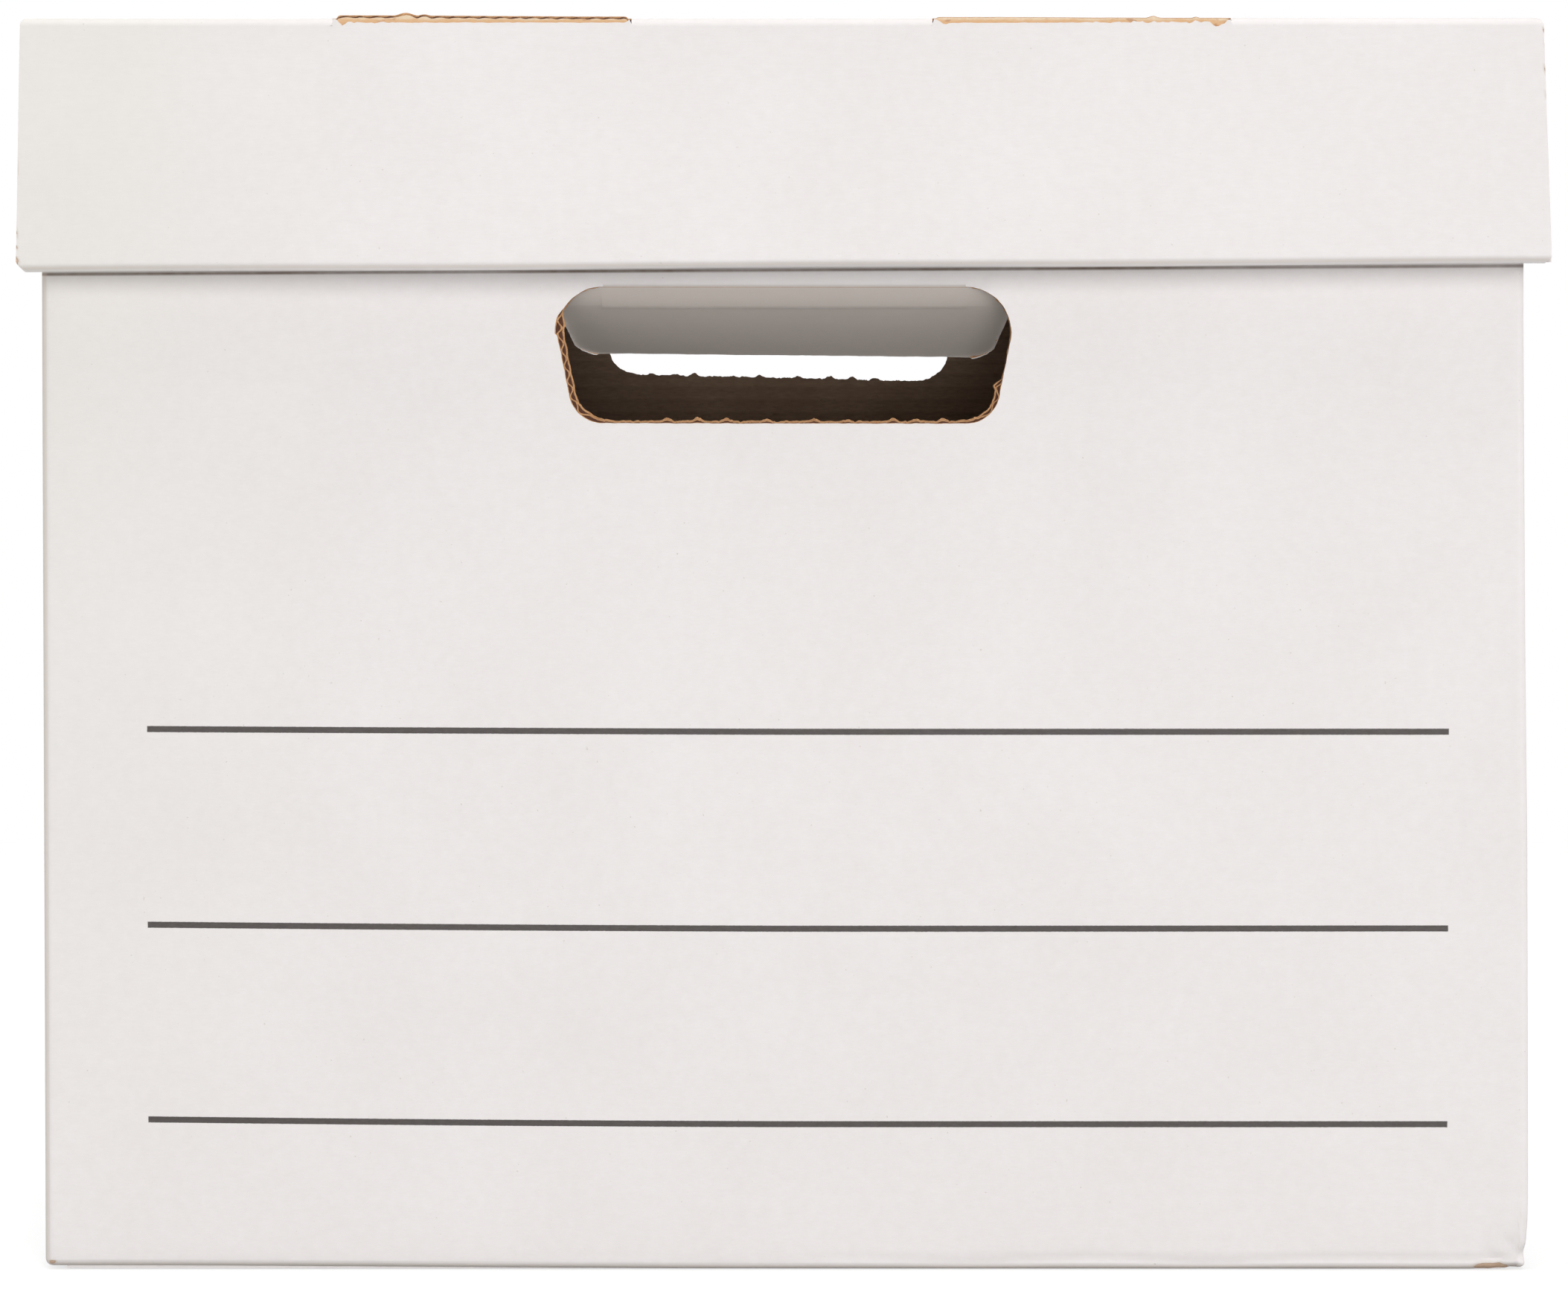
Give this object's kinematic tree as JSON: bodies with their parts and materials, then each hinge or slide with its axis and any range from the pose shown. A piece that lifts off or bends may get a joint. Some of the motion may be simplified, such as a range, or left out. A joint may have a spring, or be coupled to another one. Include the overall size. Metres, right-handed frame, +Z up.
{
  "type": "storage box with lift-off lid",
  "caption": "Corrugated board storage box for files, white outside and kraft inside, with a deep lift-off tray lid, push-in hand hole flaps and ruled lines for a label on the front.",
  "frame": {"origin": "centre of the base, on the surface that the box stands on", "axes": "+X across the box to the right of a person facing the lined end, +Y from the lined front end to the rear end, +Z up"},
  "size_m": [0.317, 0.4002, 0.2604],
  "materials": {
    "body_board": "white lined corrugated board, kraft inside and on cut edges",
    "lid_board": "white lined corrugated board, kraft inside and on cut edges",
    "hand_flap_board": "white lined board pushed inwards, creased",
    "bottom_board": "white lined corrugated board, the outer bottom layer",
    "inner_board": "bare kraft board",
    "lid_inner_board": "bare kraft board"
  },
  "bodies": {
    "box": {"front_end_panel": "body_board", "rear_end_panel": "body_board", "left_side_panel": "body_board", "right_side_panel": "body_board", "glue_lap": "inner_board", "bottom_front_flap": "bottom_board", "bottom_rear_flap": "bottom_board", "bottom_left_flap": "inner_board", "bottom_right_flap": "inner_board"},
    "lid": {"lid_top_panel": "lid_board", "lid_left_side_flange": "lid_board", "lid_right_side_flange": "lid_board", "lid_front_outer_flange": "lid_board", "lid_rear_outer_flange": "lid_board", "lid_front_rim_strip": "lid_inner_board", "lid_rear_rim_strip": "lid_inner_board", "lid_front_inner_flange": "lid_inner_board", "lid_rear_inner_flange": "lid_inner_board", "lid_front_left_corner_flap": "lid_inner_board", "lid_front_right_corner_flap": "lid_inner_board", "lid_rear_left_corner_flap": "lid_inner_board", "lid_rear_right_corner_flap": "lid_inner_board"},
    "front_flap": {"front_hand_flap": "hand_flap_board"},
    "rear_flap": {"rear_hand_flap": "hand_flap_board"}
  },
  "joints": [
    {"name": "lid_lift", "type": "slide", "parent": "box", "child": "lid", "axis": [0, 0, 1], "range_m": [0, 0.12]},
    {"name": "front_flap_crease", "type": "hinge", "parent": "box", "child": "front_flap", "pos_m": [0, -0.1905, 0.2046], "axis": [1, 0, 0], "range_deg": [-60, 110]},
    {"name": "rear_flap_crease", "type": "hinge", "parent": "box", "child": "rear_flap", "pos_m": [0, 0.1905, 0.2046], "axis": [-1, 0, 0], "range_deg": [-60, 110]}
  ]
}
